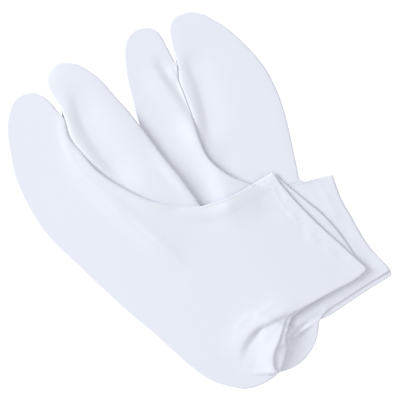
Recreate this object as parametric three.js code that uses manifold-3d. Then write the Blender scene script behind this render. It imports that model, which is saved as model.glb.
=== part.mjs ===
// A pair of stretch tabi covers, laid flat with the left cover on top of the right one.
//
// Each cover is cut from three pieces of cloth: a sole, an inner upper with the big-toe
// pocket and an outer upper with the pocket for the four other toes. The soles face down
// and the ankles are folded over to the right, so the ankle of the upper that is on top
// lies on the ankle of the one beneath it.
//
// Units are millimetres and +Z is up. The origin is in the middle of the pair's
// footprint, on the surface that the pair lies on.

import * as THREE from 'three';
import { mergeVertices } from 'three/addons/utils/BufferGeometryUtils.js';
import Module from 'manifold-3d';

const wasm = await Module();
wasm.setup();

// ---------------------------------------------------------------- cloth and stack

const clothWall = 1.0;
const seamGap = 0.3;

// Gap between the right cover's top and the left cover that lies on it.
const coverGap = 0.7;

// Height of a panel's underside over its cover's floor, beside the sole and over it.
const lowerPanel = { beside: 0, overSole: clothWall + seamGap };
const upperPanel = { beside: 1.9, overSole: 3.6 };

// Past the edge of the sole a panel comes down to the floor over this distance.
const soleFall = 20;

// The left cover climbs onto the right one over this distance.
const climb = 50;

// Its uppers stand this much clear of the sole, where the climb bends the seams.
const climbSlack = 0.15;

// Slack of the lower panel beneath the upper one, and loft of an open toe pocket.
const hiddenSlack = 0.4;
const pocketLoft = 2.2;
const pocketRise = 12;

// The instep seam's soft roll, just beside the seam, on the lower panel.
const seamRoll = { height: 1.2, away: 3.6, width: 2.2 };

// The upper panel's sewn edge stands this much over the lower panel's crown. It rises
// from the sole to it over these distances inside the lower panel's edge.
const rimClearance = 0.6;
const rimLead = [-3.5, -0.5];

// ------------------------------------------------------------------------ tables
//
// A panel is a row of sections from the tip of its toe to its opening. A section runs
// from the panel's left edge through a middle point to its right edge, seen from above
// with the toe away from the viewer. The left cover's uppers are those of the left foot.

// Left foot, outer upper: on top. Its middle points follow the heel's fold.
//  left x, y, middle x, y, right x, y
const leftOuterSections = [
  [-105, 68, -105, 68, -105, 68],
  [-113, 66, -105.5, 65, -97.5, 65],
  [-118, 61, -106, 60, -93, 61],
  [-120.5, 53, -104.5, 53, -88.5, 55.5],
  [-121.5, 43.5, -102.5, 46, -84.5, 50.5],
  [-119.5, 28.5, -100, 33, -81.5, 39.5],
  [-115.5, 12, -94, 19, -73.5, 29.5],
  [-107.5, -5, -85, 5, -62.5, 17.5],
  [-96, -22.5, -72, -9, -47, 7.5],
  [-75, -43, -53, -24, -29.5, -0.5],
  [-51, -65.5, -32, -41, -12, -4],
  [-27.5, -85.5, -12, -56.5, 0.5, -4],
  [-7.5, -103.5, 7, -77, 9.5, -1.5],
  [8, -114, 19.5, -91.5, 16, 0.5],
  [27, -119, 27.5, -99, 21.5, 3],
  [39, -116.5, 29, -96, 25, 5],
  [49, -110, 30.5, -92.5, 28, 6.5],
  [47.5, -104, 32.5, -88, 30.5, 8],
  [47.5, -97, 36.5, -82.5, 32.5, 9.5],
  [50.5, -89, 42.5, -79, 34.5, 10.5],
  [53, -81, 48.5, -76.5, 36.5, 12],
  [56, -73.5, 53.5, -71.5, 38.5, 13],
  [67, -67, 61, -56.5, 40.5, 14],
  [85.5, -57, 67.5, -43.5, 43, 16],
  [98.5, -50, 72.5, -30, 44.5, 16.5],
  [105, -44.5, 77, -17.5, 46.5, 17.5],
];

// Left foot, inner upper: beneath. Its left edge is the instep seam, then the sole's.
const leftInnerSections = [
  [-84, 87, -84, 87, -84, 87],
  [-90.5, 85.5, -87.5, 84.5, -76, 85.5],
  [-94, 81.5, -90, 80.5, -70, 82],
  [-96, 77, -91.5, 76, -63.5, 77.5],
  [-96, 71, -90.5, 72, -56.5, 70],
  [-92.5, 65, -87, 66, -50.5, 63],
  [-89, 59, -83, 60.5, -44.5, 56.5],
  [-85.5, 53, -80, 54, -39.5, 50],
  [-87, 45.5, -79, 46.5, -34.5, 43.5],
  [-85, 36, -74.5, 37, -28.5, 35.5],
  [-80.5, 28.5, -68.5, 29, -21, 25.5],
  [-72.5, 19.5, -61, 21, -13, 16],
  [-61.5, 10.5, -50, 12.5, -7, 8],
  [-51, 4.5, -37, 6.5, -3, 2.5],
  [-39.5, -1.5, -24.5, 0.5, -0.5, -1.5],
  [-28.5, -6.5, -15, -3, 1, -3.5],
  [-16, -11.5, -7, -7, 2, -4],
  [-4, -17.5, 0, -10, 4, -4],
  [5.5, -26, 7.5, -12, 8.5, -3],
  [16, -39, 17, -17, 15, -0.5],
  [26, -55, 27, -22, 23, 3],
  [36, -67.5, 37.5, -25, 30.5, 7],
  [48, -73, 48.5, -27, 35.5, 10],
  [60, -72.5, 56, -27, 39.5, 12],
  [72, -64.5, 63.5, -25, 43, 13.5],
  [84.5, -57.5, 70.5, -22, 45.5, 15],
  [96.5, -51.5, 76, -19, 48, 15],
  [105, -45, 80, -14, 50.5, 13.5],
];

// Left foot, inner upper's heel, from the bottom of the heel up to the ankle's fold, so
// its left edge is the heel's back.
const leftHeelSections = [
  [50, -110, 50, -110, 50, -110],
  [51.5, -106.5, 49, -107, 46, -107.5],
  [53, -102.5, 48.5, -102, 43.5, -102],
  [55, -94.5, 48.5, -94.5, 42, -94.5],
  [54.5, -87, 48.5, -87, 43, -87],
  [56, -81, 50.5, -81, 45.5, -81],
  [57.5, -76.5, 52.5, -77, 47.5, -77.5],
];

// Right foot, inner upper: on top. Its middle points follow the heel's fold.
const rightInnerSections = [
  [-33, 109, -33, 109, -33, 109],
  [-39, 108, -33, 106.5, -27, 107],
  [-43.5, 105, -33.5, 102, -23.5, 103],
  [-46.5, 100, -33, 96.5, -20, 96.5],
  [-47.5, 93, -31.5, 90, -16.5, 89.5],
  [-47, 85.5, -27.5, 82, -13.5, 83],
  [-46, 77.5, -24.5, 74.5, -13, 76],
  [-44, 68.5, -21, 65, -10, 68],
  [-41.5, 60, -18.5, 55.5, -6.5, 59],
  [-38, 48.5, -16, 44, -3, 49],
  [-32, 28.5, -11.5, 28.5, 0.5, 38.5],
  [-26.5, 1.5, -4.5, 6.5, 5.5, 27.5],
  [-21, -20, 3, -16, 13, 20],
  [-14, -39.5, 12, -39, 21.5, 14.5],
  [-5.5, -60, 21, -63, 29.5, 11.5],
  [4.5, -82, 29.5, -85, 36.5, 9],
  [16, -99, 32.5, -96, 41, 9],
  [28.5, -109, 36.5, -101, 44.5, 8.5],
  [42, -110, 39.5, -97.5, 48.5, 8.5],
  [52.5, -108.5, 45, -93.5, 52.5, 9],
  [63.5, -103.5, 52.5, -89, 56, 9.5],
  [71, -95, 60.5, -84, 59, 10],
  [75, -85.5, 68, -78, 62.5, 10.5],
  [76, -77, 73.5, -70.5, 65.5, 11.5],
  [80.5, -70, 77.5, -61, 69.5, 12.5],
  [92, -62.5, 84, -50, 73, 13.5],
  [105, -54, 89.5, -38, 77, 14.5],
  [114, -48.5, 94.5, -27, 80.5, 15.5],
  [119.5, -45, 98.5, -16.5, 84, 16],
];

// Right foot, outer upper: beneath. Its left edge is the instep seam, then the sole's.
const rightOuterSections = [
  [-5.5, 119, -5.5, 119, -5.5, 119],
  [-12, 117.5, -8, 115.5, 2.5, 117.5],
  [-16.5, 115, -10.5, 112, 10, 113.5],
  [-19, 110, -12, 107, 18.5, 108],
  [-19, 104.5, -11.5, 102, 27, 100],
  [-17.5, 97, -9.5, 95, 34.5, 92.5],
  [-15, 89.5, -7.5, 88, 40.5, 85.5],
  [-13.5, 83, -5.5, 81.5, 44.5, 78],
  [-16, 75.5, -5.5, 74.5, 49, 70.5],
  [-14, 67, -2, 67, 52.5, 62.5],
  [-10.5, 57.5, 2, 58, 55, 53],
  [-7.5, 47, 5.5, 48, 57.5, 41.5],
  [-4.5, 36, 9.5, 38, 60, 30],
  [0.5, 26.5, 14.5, 29.5, 61.5, 22],
  [8, 18.5, 23.5, 23.5, 62.5, 18],
  [17, 12, 32, 17.5, 63, 15.5],
  [27, 7, 39.5, 13, 63, 13.5],
  [37, 5, 48, 9.5, 64, 12],
  [47, 4, 56, 8, 65, 11.5],
  [56, -2, 61, 5, 67, 12],
  [58.5, -16, 64.5, 1.5, 71, 13],
  [61, -31.5, 70, -5, 75.5, 14],
  [65, -48.5, 75, -11.5, 77, 14.5],
  [68.5, -64.5, 80.5, -17.5, 79, 14.5],
  [73.5, -75, 86.5, -22, 80.5, 15],
  [81.5, -73.5, 90.5, -24, 82, 15.5],
  [92.5, -66.5, 95, -22.5, 83.5, 16],
  [106, -57.5, 98.5, -20, 84, 16],
  [121.5, -48, 100.5, -17, 84.5, 16],
];

// The sole's edge beneath the folded ankle, from the instep to the heel: x, y
const leftHiddenEdge = [
  [9.5, -14], [21, -27], [32, -43], [42, -60], [51, -74.5], [55.5, -85], [55, -94.5], [53, -102.5],
];
const rightHiddenEdge = [
  [63.5, 11.5], [64.5, -3], [66, -22], [69.5, -39], [73, -56.5], [75.5, -70],
];

// Where the uppers' edges stop being the sole's edge, counted in sections.
const leftSoleSections = { heel: 16, outerCleft: 4, innerCleft: 7, instep: 15 };
const rightSoleSections = { heel: 23, outerCleft: 5, innerCleft: 6.6, instep: 15 };

// The instep seam, from the cleft between the toes up to the opening: x, y
const leftSeam = [
  [-85, 51], [-80, 37], [-68.5, 23], [-50, 9.5], [-31, 0], [-12, -4], [4, -3], [26, 5], [46.5, 17.5],
];
const rightSeam = [
  [-13.5, 83], [-11, 70.5], [-5.5, 57], [0, 38.5], [9, 24], [26, 12.5], [43.5, 9], [63.5, 11], [84, 16],
];

// The heel's fold, where the ankle lies over the heel: x, y, with the ankle on its left
const leftHeelFold = [
  [27.5, -99.5], [30, -94], [32, -89], [36.5, -82.5], [43, -79], [49, -76], [57.5, -72.5],
];
const rightHeelFold = [
  [36.5, -104.5], [38.5, -99], [43.5, -94.5], [50.5, -90.5], [58, -85.5], [67, -79], [77.5, -71.5],
];
const heelFold = { drop: 0.8, lift: 1.0, dropWidth: 9, liftWidth: 14, edge: 2.4 };

// Soft ridges, with a height over 0, and troughs, with one under 0.
const leftUpperCreases = [
  { height: 0.7, width: 7, line: [[-72, 16], [-53, -3], [-37, -19], [-21.5, -31.5], [-5.5, -44]] },
  { height: -0.6, width: 5, line: [[14, -62], [20, -76], [24, -90]] },
];
const leftLowerCreases = [
  { height: -1.3, width: 5, line: [[-81.5, 68], [-77, 55.5], [-66, 31.5], [-50, 10.5], [-27.5, -2]] },
];
const rightUpperCreases = [
  { height: -1.0, width: 5, line: [[-31, 90], [-26, 83], [-18.5, 74.5], [-10.5, 67.5]] },
  { height: 0.7, width: 7, line: [[-24.5, 75.5], [-15, 57], [-9, 41], [0.5, 22], [7, 9.5]] },
];
const rightLowerCreases = [
  { height: -1.3, width: 5, line: [[-10, 93], [-1.5, 69.5], [4.5, 44], [14.5, 23.5], [33.5, 11]] },
];

// ----------------------------------------------------------------- plane geometry

const mix = THREE.MathUtils.lerp;
const easeBetween = (low, high, value) => THREE.MathUtils.smoothstep(value, low, high);

// The point of a line of [x, y] points that is nearest to x, y, with its distance, its
// place along the line from 0 to 1, and the line's direction there.
function nearestOn(line, x, y) {
  let best = { distance: Infinity };
  for (let i = 0; i + 1 < line.length; i += 1) {
    const [ax, ay] = line[i];
    const alongX = line[i + 1][0] - ax;
    const alongY = line[i + 1][1] - ay;
    const length = Math.hypot(alongX, alongY);
    const share = THREE.MathUtils.clamp(((x - ax) * alongX + (y - ay) * alongY) / (length * length), 0, 1);
    const px = ax + share * alongX;
    const py = ay + share * alongY;
    const distance = Math.hypot(x - px, y - py);
    if (distance < best.distance) {
      const place = (i + share) / (line.length - 1);
      best = { distance, place, point: [px, py], direction: [alongX / length, alongY / length] };
    }
  }
  return best;
}

// Distance from a line, over 0 on the left-hand side of its direction.
function distanceLeftOf(line, x, y) {
  const near = nearestOn(line, x, y);
  const cross = near.direction[0] * (y - near.point[1]) - near.direction[1] * (x - near.point[0]);
  return Math.sign(cross) * near.distance;
}

// Distance to a closed outline, over 0 inside it.
function depthInside(outline, x, y) {
  let inside = false;
  outline.forEach(([ax, ay], i) => {
    const [bx, by] = outline[(i + 1) % outline.length];
    if (ay > y !== by > y && x < ax + ((y - ay) / (by - ay)) * (bx - ax)) inside = !inside;
  });
  const { distance } = nearestOn([...outline, outline[0]], x, y);
  return inside ? distance : -distance;
}

const deepest = (outlines, x, y) => Math.max(...outlines.map((outline) => depthInside(outline, x, y)));

const curveThrough = (points) => new THREE.SplineCurve(points.map(([x, y]) => new THREE.Vector2(x, y)));
const smoothLine = (points, steps) => curveThrough(points).getPoints(steps).map((p) => [p.x, p.y]);

// A quarter-round rise from 0 to 1.
const roundRise = (share) => Math.sqrt(1 - (1 - THREE.MathUtils.clamp(share, 0, 1)) ** 2);

// ------------------------------------------------------------------- panel outlines

const edgeSamples = 260;

// The guides of a panel: its edge, one curve from the opening's left corner round the
// toe to its right corner, and its middle line. Each is asked for by section number.
function panelGuides(sections) {
  const last = sections.length - 1;
  const leftEdge = sections.map((row) => [row[0], row[1]]);
  const rightEdge = sections.map((row) => [row[4], row[5]]);
  const edge = curveThrough([...leftEdge.slice(1).reverse(), ...rightEdge]);
  const middle = curveThrough(sections.map((row) => [row[2], row[3]]));
  const left = (section) => edge.getPoint((last - section) / (2 * last));
  const right = (section) => edge.getPoint((last + section) / (2 * last));
  const edgeLine = edge.getPoints(edgeSamples).map((p) => [p.x, p.y]);
  return { last, left, right, middle: (section) => middle.getPoint(section / last), edgeLine };
}

// Points of one edge of a panel between two of its sections.
function edgeBetween(side, from, to, steps) {
  return Array.from({ length: steps + 1 }, (_, i) => {
    const point = side(mix(from, to, i / steps));
    return [point.x, point.y];
  });
}

// A sole has the edges of its cover's uppers, and the hidden edge beneath the ankle.
function soleOutline(leftPanel, rightPanel, hiddenEdge, sections) {
  return [
    ...edgeBetween(leftPanel.left, sections.heel, 0, 56),
    ...edgeBetween(leftPanel.right, 0, sections.outerCleft, 10).slice(1),
    ...edgeBetween(rightPanel.left, sections.innerCleft, 0, 14),
    ...edgeBetween(rightPanel.right, 0, sections.instep, 36).slice(1),
    ...smoothLine(hiddenEdge, 12),
  ];
}

const leftOuter = panelGuides(leftOuterSections);
const leftInner = panelGuides(leftInnerSections);
const leftHeel = panelGuides(leftHeelSections);
const rightInner = panelGuides(rightInnerSections);
const rightOuter = panelGuides(rightOuterSections);

const leftSoleOutline = soleOutline(leftOuter, leftInner, leftHiddenEdge, leftSoleSections);
const rightSoleOutline = soleOutline(rightInner, rightOuter, rightHiddenEdge, rightSoleSections);

// --------------------------------------------------------------------------- heights

// 1 over a cover's sole, falling to 0 beside it.
const overSole = (outline, x, y) => 1 - easeBetween(0.5, 0.5 + soleFall, -depthInside(outline, x, y));

const fadeEnds = (place, share = 0.25) => easeBetween(0, share, place) * (1 - easeBetween(1 - share, 1, place));

function creaseHeight(creases, x, y) {
  return creases.reduce((sum, { height, width, line }) => {
    const near = nearestOn(line, x, y);
    return sum + height * Math.exp(-((near.distance / width) ** 2)) * fadeEnds(near.place);
  }, 0);
}

// The step at the heel's fold: the ankle's side is raised and the heel's side is low.
function foldStep(fold, x, y) {
  const { drop, lift, dropWidth, liftWidth, edge } = heelFold;
  const side = distanceLeftOf(fold, x, y);
  const strength = easeBetween(0, 0.4, nearestOn(fold, x, y).place);
  const low = drop * Math.exp(-((Math.min(side, 0) / dropWidth) ** 2));
  const high = lift * Math.exp(-((side / liftWidth) ** 2));
  return strength * (side < 0 ? -low : mix(-drop, high, roundRise(side / edge)));
}

// A cover's panels as heights over the plane: the rim that an edge is turned down to,
// and the crown, the outer face away from the edges.
function coverHeights({
  floor, sole, lowerOutlines, seam, rollEnd, loftEnd, lowerCreases, upperCreases, fold, pressed,
}) {
  const panelBase = (panel, x, y) => floor(x, y) + mix(panel.beside, panel.overSole, overSole(sole, x, y));
  const lowerRim = (x, y) => panelBase(lowerPanel, x, y);
  const lowerCrown = (x, y) => {
    const beside = distanceLeftOf(seam, x, y);
    const { place } = nearestOn(seam, x, y);
    const loft = mix(hiddenSlack, pocketLoft, easeBetween(0, pocketRise, beside));
    const open = 1 - easeBetween(loftEnd[0], loftEnd[1], place);
    const roll = seamRoll.height * Math.exp(-(((beside - seamRoll.away) / seamRoll.width) ** 2));
    const rolled = roll * (1 - easeBetween(rollEnd[0], rollEnd[1], place));
    const soft = (loft - hiddenSlack) * open + hiddenSlack * overSole(sole, x, y);
    const shaped = Math.max(0, soft + creaseHeight(lowerCreases, x, y) * open);
    return lowerRim(x, y) + clothWall + shaped + rolled * (1 - pressed(x, y));
  };
  const upperRim = (x, y) => {
    const onLower = easeBetween(rimLead[0], rimLead[1], deepest(lowerOutlines, x, y));
    return mix(lowerRim(x, y), lowerCrown(x, y) + rimClearance, onLower);
  };
  const upperCrown = (x, y) => panelBase(upperPanel, x, y) + clothWall
    + (creaseHeight(upperCreases, x, y) + foldStep(fold, x, y)) * (1 - pressed(x, y));
  return { floor, lowerRim, lowerCrown, upperRim, upperCrown };
}

// 1 where the left cover lies on the right one and presses its creases flat, and 0
// further from it than the press's reach.
const pressReach = [-8, -2];
const leftOutlines = [leftOuter.edgeLine, leftInner.edgeLine, leftHeel.edgeLine, leftSoleOutline];
const underLeft = (x, y) => easeBetween(pressReach[0], pressReach[1], deepest(leftOutlines, x, y));

const rightHeights = coverHeights({
  floor: () => 0,
  sole: rightSoleOutline,
  lowerOutlines: [rightOuter.edgeLine],
  seam: smoothLine(rightSeam, 60),
  rollEnd: [0.25, 0.45],
  loftEnd: [0.75, 1],
  lowerCreases: rightLowerCreases,
  upperCreases: rightUpperCreases,
  fold: smoothLine(rightHeelFold, 30),
  pressed: underLeft,
});

// The left cover's floor is the right cover's top, with a long climb onto it.
function leftFloor(x, y) {
  const depth = deepest([rightInner.edgeLine, rightOuter.edgeLine, rightSoleOutline], x, y);
  const raised = depth > 0 ? overSole(rightSoleOutline, x, y) : 1;
  const top = mix(upperPanel.beside, upperPanel.overSole, raised) + clothWall + coverGap;
  return top * easeBetween(-climb, -1, depth);
}

const leftHeights = coverHeights({
  floor: (x, y) => leftFloor(x, y) + climbSlack,
  sole: leftSoleOutline,
  lowerOutlines: [leftInner.edgeLine, leftHeel.edgeLine],
  seam: smoothLine(leftSeam, 60),
  rollEnd: [0.3, 0.5],
  loftEnd: [0.4, 0.6],
  lowerCreases: leftLowerCreases,
  upperCreases: leftUpperCreases,
  fold: smoothLine(leftHeelFold, 30),
  pressed: () => 0,
});

// --------------------------------------------------------------------------- solids

// Distances from an edge of the rows of points that round it over, and from the fold.
const edgeSteps = [0, 0.5, 1.4, 3];
const foldSteps = [2.4, 0.8, 0];
const rollSteps = [1.8, 0];
const plainSteps = [0];
const toeSections = [0, 0.12, 0.35, 0.7, 1];
const longestStep = 14;
const shortestFacet = 1e-4;

// Sections are added where the given ones are further apart than the longest step.
function sectionPlaces(guides) {
  const places = [...toeSections];
  for (let i = 1; i < guides.last; i += 1) {
    const leftStep = guides.left(i).distanceTo(guides.left(i + 1));
    const rightStep = guides.right(i).distanceTo(guides.right(i + 1));
    const parts = Math.ceil(Math.max(leftStep, rightStep) / longestStep);
    for (let k = 1; k <= parts; k += 1) places.push(i + k / parts);
  }
  return places;
}

// Distances along half a section: close together at the edge and at the fold.
function placesAcross(length, even, middleSteps) {
  const closeSteps = edgeSteps[edgeSteps.length - 1] + middleSteps[0];
  const scale = Math.min(1, (0.7 * length) / closeSteps);
  const start = edgeSteps.map((step) => step * scale);
  const end = middleSteps.map((step) => length - step * scale);
  const from = start[start.length - 1];
  const evenly = Array.from({ length: even }, (_, i) => mix(from, end[0], (i + 1) / (even + 1)));
  return [...start, ...evenly, ...end];
}

// The points of one section, from its left edge to its right one. A section whose
// middle is near halfway is bent smoothly through it.
function sectionPoints(guides, section, even, middleSteps) {
  const left = guides.left(section);
  const middle = guides.middle(section);
  const right = guides.right(section);
  const leftLength = left.distanceTo(middle);
  const rightLength = right.distanceTo(middle);
  const total = leftLength + rightLength;
  const share = total > 0 ? leftLength / total : 0.5;
  const bend = easeBetween(0.25, 0.42, Math.min(share, 1 - share));
  const pointAt = (distance) => {
    const onLeft = distance <= leftLength;
    const straight = onLeft
      ? left.clone().lerp(middle, leftLength > 0 ? distance / leftLength : 0)
      : middle.clone().lerp(right, (distance - leftLength) / rightLength);
    const u = total > 0 ? distance / total : 0;
    const chord = left.clone().lerp(right, u);
    const offset = middle.clone().sub(left.clone().lerp(right, share));
    const curved = chord.addScaledVector(offset, (u * (1 - u)) / (share * (1 - share)));
    return straight.lerp(curved, bend);
  };
  const leftPlaces = placesAcross(leftLength, even.left, middleSteps);
  const rightPlaces = placesAcross(rightLength, even.right, middleSteps);
  const places = [...leftPlaces, ...rightPlaces.reverse().slice(1).map((step) => total - step)];
  return places.map(pointAt);
}

// A sheet of cloth: an outer face, an inner face one wall inside it, a rim turned down
// along the sewn edge and a plain end at the opening.
function clothSheet(guides, rimHeight, crownHeight, even, middleSteps) {
  const rows = sectionPlaces(guides).map((section) => sectionPoints(guides, section, even, middleSteps));
  const columns = rows[0].length;
  const positions = [];

  const outerHeight = (x, y, depth) => {
    const rim = rimHeight(x, y);
    const rise = crownHeight(x, y) - rim;
    const radius = THREE.MathUtils.clamp(0.9 * rise, 1.2, 4);
    return rim + rise * roundRise(depth / radius);
  };
  const innerHeight = (x, y, depth) => {
    const rim = rimHeight(x, y);
    const rise = crownHeight(x, y) - rim;
    const radius = THREE.MathUtils.clamp(0.9 * rise, 1.2, 4);
    return rim + (rise - clothWall) * roundRise((depth - clothWall) / radius);
  };

  rows.forEach((row) => {
    row.forEach(({ x, y }) => {
      const near = nearestOn(guides.edgeLine, x, y);
      positions.push(x, y, outerHeight(x, y, near.distance));
    });
    row.slice().reverse().forEach(({ x, y }) => {
      const near = nearestOn(guides.edgeLine, x, y);
      const onEdge = near.distance < 0.05;
      const inwardX = onEdge ? near.direction[1] : (x - near.point[0]) / near.distance;
      const inwardY = onEdge ? -near.direction[0] : (y - near.point[1]) / near.distance;
      const shift = clothWall * Math.max(0, 1 - near.distance / 4);
      const innerX = x + inwardX * shift;
      const innerY = y + inwardY * shift;
      positions.push(innerX, innerY, innerHeight(innerX, innerY, near.distance + shift));
    });
  });

  const around = 2 * columns;
  const index = [];
  for (let row = 0; row + 1 < rows.length; row += 1) {
    for (let k = 0; k < around; k += 1) {
      const here = row * around + k;
      const beside = row * around + ((k + 1) % around);
      index.push(here, here + around, beside, beside, here + around, beside + around);
    }
  }
  const end = (rows.length - 1) * around;
  for (let k = 0; k + 1 < columns; k += 1) {
    const outer = end + k;
    const inner = end + around - 1 - k;
    index.push(outer, inner, outer + 1, outer + 1, inner, inner - 1);
  }
  return closedGeometry(positions, index);
}

// Shared points are merged and faces without area are left out.
function closedGeometry(positions, index) {
  const loose = new THREE.BufferGeometry();
  loose.setAttribute('position', new THREE.Float32BufferAttribute(positions, 3));
  loose.setIndex(index);
  const merged = mergeVertices(loose, shortestFacet);
  const corners = merged.index.array;
  const kept = [];
  for (let i = 0; i < corners.length; i += 3) {
    const [a, b, c] = [corners[i], corners[i + 1], corners[i + 2]];
    if (a !== b && b !== c && c !== a) kept.push(a, b, c);
  }
  merged.setIndex(kept);
  return merged;
}

// To and from the boolean library's solids.
function solidOf(geometry) {
  const bare = geometry.clone();
  bare.deleteAttribute('normal');
  bare.deleteAttribute('uv');
  const merged = mergeVertices(bare, shortestFacet);
  return new wasm.Manifold(new wasm.Mesh({
    numProp: 3,
    vertProperties: new Float32Array(merged.attributes.position.array),
    triVerts: new Uint32Array(merged.index.array),
  }));
}

function geometryOf(solid) {
  const mesh = solid.getMesh();
  const geometry = new THREE.BufferGeometry();
  geometry.setAttribute('position', new THREE.BufferAttribute(mesh.vertProperties, 3));
  geometry.setIndex(new THREE.BufferAttribute(mesh.triVerts, 1));
  return geometry;
}

const shapeOf = (outline) => new THREE.Shape(outline.map(([x, y]) => new THREE.Vector2(x, y)));

// A sole that lies flat.
function flatSole(outline) {
  return new THREE.ExtrudeGeometry(shapeOf(outline), { depth: clothWall, bevelEnabled: false });
}

// A sole that follows an uneven floor: a slab bent to the floor, cut to the outline.
function bentSole(outline, floor, cell) {
  const box = new THREE.Box2().setFromPoints(outline.map(([x, y]) => new THREE.Vector2(x, y)));
  const size = box.getSize(new THREE.Vector2()).addScalar(2 * cell);
  const centre = box.getCenter(new THREE.Vector2());
  const across = Math.ceil(size.x / cell);
  const along = Math.ceil(size.y / cell);
  const slab = new THREE.BoxGeometry(size.x, size.y, 1, across, along, 1);
  slab.translate(centre.x, centre.y, 0);
  const { position } = slab.attributes;
  for (let i = 0; i < position.count; i += 1) {
    const height = floor(position.getX(i), position.getY(i));
    position.setZ(i, height + (position.getZ(i) > 0 ? clothWall : 0));
  }
  const prism = new THREE.ExtrudeGeometry(shapeOf(outline), { depth: 40, bevelEnabled: false });
  prism.translate(0, 0, -10);
  return geometryOf(solidOf(slab).intersect(solidOf(prism)));
}

// ----------------------------------------------------------------------------- parts

const upperCloth = { color: 0xe9edf6, roughness: 0.78, metalness: 0 };
const soleCloth = { color: 0xe4e8f0, roughness: 0.85, metalness: 0 };

const pair = new THREE.Group();

function addPiece(name, geometry, cloth) {
  geometry.computeVertexNormals();
  const mesh = new THREE.Mesh(geometry, new THREE.MeshStandardMaterial(cloth));
  mesh.name = name;
  pair.add(mesh);
}

const evenUpper = { left: 2, right: 2 };
const evenLower = { left: 0, right: 3 };
const evenHeel = { left: 0, right: 0 };
const soleCell = 10;

addPiece('right_sole', flatSole(rightSoleOutline), soleCloth);
addPiece(
  'right_outer_upper',
  clothSheet(rightOuter, rightHeights.lowerRim, rightHeights.lowerCrown, evenLower, rollSteps),
  upperCloth,
);
addPiece(
  'right_inner_upper',
  clothSheet(rightInner, rightHeights.upperRim, rightHeights.upperCrown, evenUpper, foldSteps),
  upperCloth,
);

addPiece('left_sole', bentSole(leftSoleOutline, leftFloor, soleCell), soleCloth);
addPiece(
  'left_inner_upper',
  clothSheet(leftInner, leftHeights.lowerRim, leftHeights.lowerCrown, evenLower, rollSteps),
  upperCloth,
);
addPiece(
  'left_inner_upper_heel',
  clothSheet(leftHeel, leftHeights.lowerRim, leftHeights.lowerCrown, evenHeel, plainSteps),
  upperCloth,
);
addPiece(
  'left_outer_upper',
  clothSheet(leftOuter, leftHeights.upperRim, leftHeights.upperCrown, evenUpper, foldSteps),
  upperCloth,
);

export default pair;
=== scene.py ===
# %% [markdown]
# # A pair of stretch tabi covers
#
# Two split-toe covers in a fine white stretch knit lie flat, the left one over the right one. Each is cut
# from three pieces of cloth: a sole, an inner upper with the big toe's pocket and an outer upper with the
# pocket for the four other toes. The ankles are folded over to the right, so each one shows its opening and
# a fold across its heel.
#
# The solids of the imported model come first. They stay for the physics.

import bpy
import numpy as np
from mathutils.geometry import delaunay_2d_cdt
from mathutils.kdtree import KDTree
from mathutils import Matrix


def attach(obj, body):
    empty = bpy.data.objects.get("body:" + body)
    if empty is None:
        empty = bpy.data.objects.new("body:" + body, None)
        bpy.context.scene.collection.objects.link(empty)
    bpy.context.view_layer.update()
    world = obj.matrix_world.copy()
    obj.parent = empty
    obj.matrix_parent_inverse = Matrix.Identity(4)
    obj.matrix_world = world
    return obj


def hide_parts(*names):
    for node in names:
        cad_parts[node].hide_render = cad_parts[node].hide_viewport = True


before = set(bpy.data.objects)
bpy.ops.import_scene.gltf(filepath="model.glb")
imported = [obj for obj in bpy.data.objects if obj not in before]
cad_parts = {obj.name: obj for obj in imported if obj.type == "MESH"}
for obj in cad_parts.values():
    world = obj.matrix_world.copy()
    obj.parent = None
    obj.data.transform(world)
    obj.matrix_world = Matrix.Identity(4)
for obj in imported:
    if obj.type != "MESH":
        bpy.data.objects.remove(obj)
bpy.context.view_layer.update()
MM = 0.001
print("frame:", sorted(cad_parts))

# %% [markdown]
# ## The cloth and how the layers are stacked
#
# Flat cloth could be draped by a simulation, but a pair that somebody has smoothed out by hand has few
# folds, and each one sits in a known place. So the height of every layer over the table is a plain function
# of the place on it. The pieces lie where the solids do, to within a millimetre or so, but the cloth and the
# whole stack are thinner.

# %% Sizes of the stack, in millimetres
CLOTH = 0.7
SOLE_CLOTH = 0.75
CREST = 0.8               # top face of a panel over its base
LOWER_BASE = (0.0, 0.95)  # the lower panel's base, beside the sole and over it
UPPER_BASE = (1.0, 2.3)   # the same of the upper panel
SOLE_SEAM_RIM = (0.0, 0.9)
SOLE_MARGIN = 0.5         # a panel starts to come down at this distance from the sole
SOLE_FALL = 50.0          # and is down after this distance more
CLIMB = 110.0             # the left cover climbs onto the right one over this distance
CLIMB_TOP = 1.0           # and is up this far outside it
COVER_GAP = 0.2
CLIMB_SLACK = 0.15
LAYER_GAP = 0.12          # gap that is aimed at between two layers that touch
HIDDEN_SLACK = 0.2
SIDE_DROP = 8.0           # a pocket curves down to its outer edge over this distance


def mix(a, b, share):
    return a + (b - a) * share


def ease(low, high, value):
    share = np.clip((value - low) / (high - low), 0, 1)
    return share * share * (3 - 2 * share)


def round_rise(share):
    """A quarter-round rise from 0 to 1."""
    return np.sqrt(1 - (1 - np.clip(share, 0, 1)) ** 2)


def smooth_max(a, b, softness):
    return 0.5 * (a + b + np.sqrt((a - b) ** 2 + softness ** 2))


print(f"cloth {CLOTH} mm, left cover climbs over {CLIMB:.0f} mm")

# %% [markdown]
# ## Lines on the flat cloth
#
# A seam or a crease is a smooth line on the plane. A few listed points are enough: a curve is drawn
# through them and cut into even steps. Two questions are then asked of a line again and again: how far is a
# point from it, and is the point inside it?

# %% Curves, distances and insides
LINE_STEP = 1.2
CUTS_BETWEEN_POINTS = 16


def evenly(line, step):
    run = np.concatenate([[0], np.cumsum(np.hypot(*np.diff(line, axis=0).T))])
    at = np.linspace(0, run[-1], max(2, int(round(run[-1] / step)) + 1))
    return np.column_stack([np.interp(at, run, line[:, 0]), np.interp(at, run, line[:, 1])])


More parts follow.
